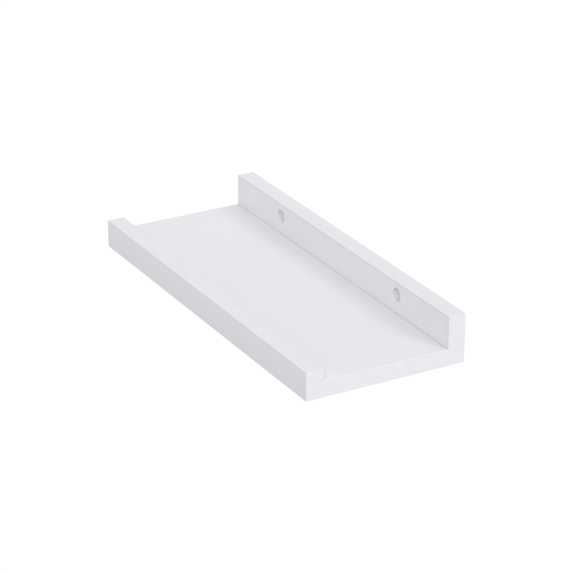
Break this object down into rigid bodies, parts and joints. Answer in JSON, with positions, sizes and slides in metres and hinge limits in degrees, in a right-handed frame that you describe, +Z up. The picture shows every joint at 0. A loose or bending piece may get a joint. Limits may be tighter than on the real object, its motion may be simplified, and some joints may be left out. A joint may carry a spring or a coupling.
{
  "type": "floating wall shelf",
  "caption": "Short white ledge shelf: a flat deck between a low front lip and a taller back rail with recessed wall-screw holes, open at both ends.",
  "frame": {"origin": "midway between the two wall-screw holes, on the back face that meets the wall", "axes": "+X along the shelf, to the right seen from the room; +Y into the wall; +Z up"},
  "size_m": [0.356, 0.15, 0.044],
  "materials": {
    "paint": "satin",
    "beech": "matte",
    "screw_steel": "satin"
  },
  "bodies": {
    "root": {"deck_board": "paint", "front_lip": "paint", "back_rail": "paint", "lip_dowel_1": "beech", "lip_dowel_2": "beech", "lip_dowel_3": "beech", "lip_dowel_4": "beech", "rail_dowel_1": "beech", "rail_dowel_2": "beech", "rail_dowel_3": "beech", "rail_screw_1": "screw_steel", "rail_screw_2": "screw_steel", "rail_screw_3": "screw_steel", "rail_screw_4": "screw_steel"}
  },
  "joints": []
}
